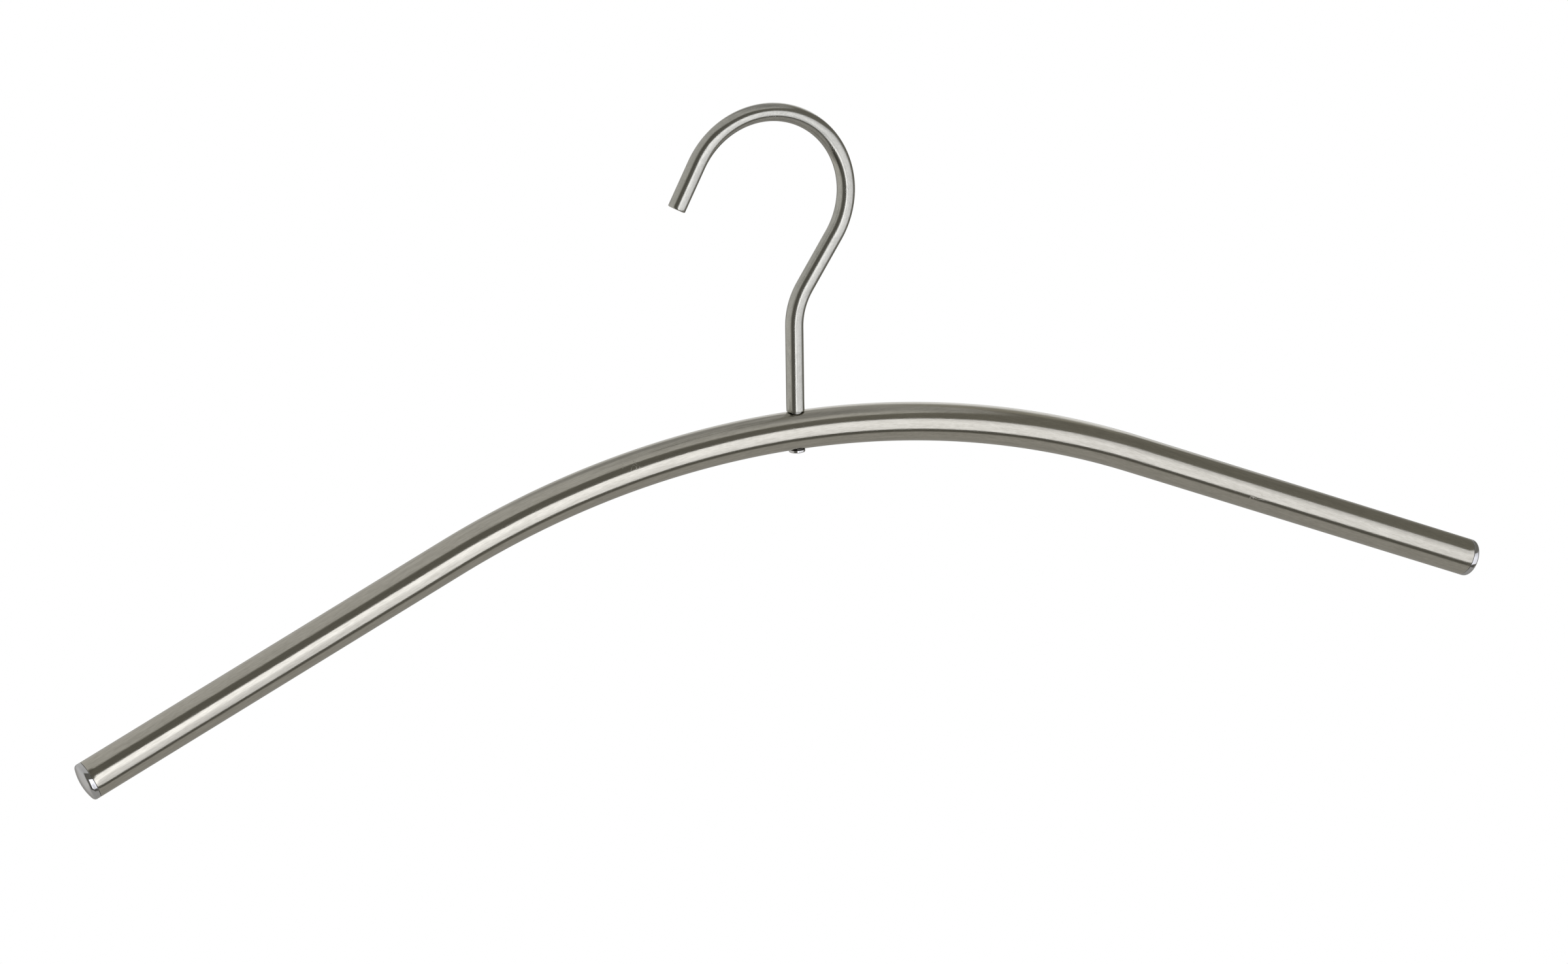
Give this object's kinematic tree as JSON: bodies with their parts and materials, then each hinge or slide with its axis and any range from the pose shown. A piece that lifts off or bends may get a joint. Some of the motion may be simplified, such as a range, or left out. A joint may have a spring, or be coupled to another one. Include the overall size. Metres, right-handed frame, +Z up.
{
  "type": "clothes hanger",
  "caption": "Metal clothes hanger: a wide arched round tube with polished domed end caps, and a bent round-rod hook that swivels on a screw at its crown.",
  "frame": {"origin": "the inside of the hook at the top of its loop, where the rail carries it", "axes": "+Z up, +X along the hanger's length and away from the hook's open side, +Y through the hanger's thickness, towards its back"},
  "size_m": [0.4749, 0.0122, 0.1854],
  "materials": {
    "rod_steel": "satin round rod with light draw marks",
    "screw_steel": "polished",
    "bush_steel": "turned, seen only in the narrow gap under the rod's foot",
    "tube_steel": "warm grey stainless, brushed along the tube",
    "cap_chrome": "mirror polished"
  },
  "bodies": {
    "hook": {"hook_rod": "rod_steel", "fixing_screw": "screw_steel", "swivel_bush": "bush_steel"},
    "arch": {"arch_tube": "tube_steel", "end_cap_left": "cap_chrome", "end_cap_right": "cap_chrome"}
  },
  "joints": [
    {"name": "hook_swivel", "type": "hinge", "parent": "hook", "child": "arch", "pos_m": [0.00666, 0, -0.09813], "axis": [0, 0, 1], "continuous": true}
  ]
}
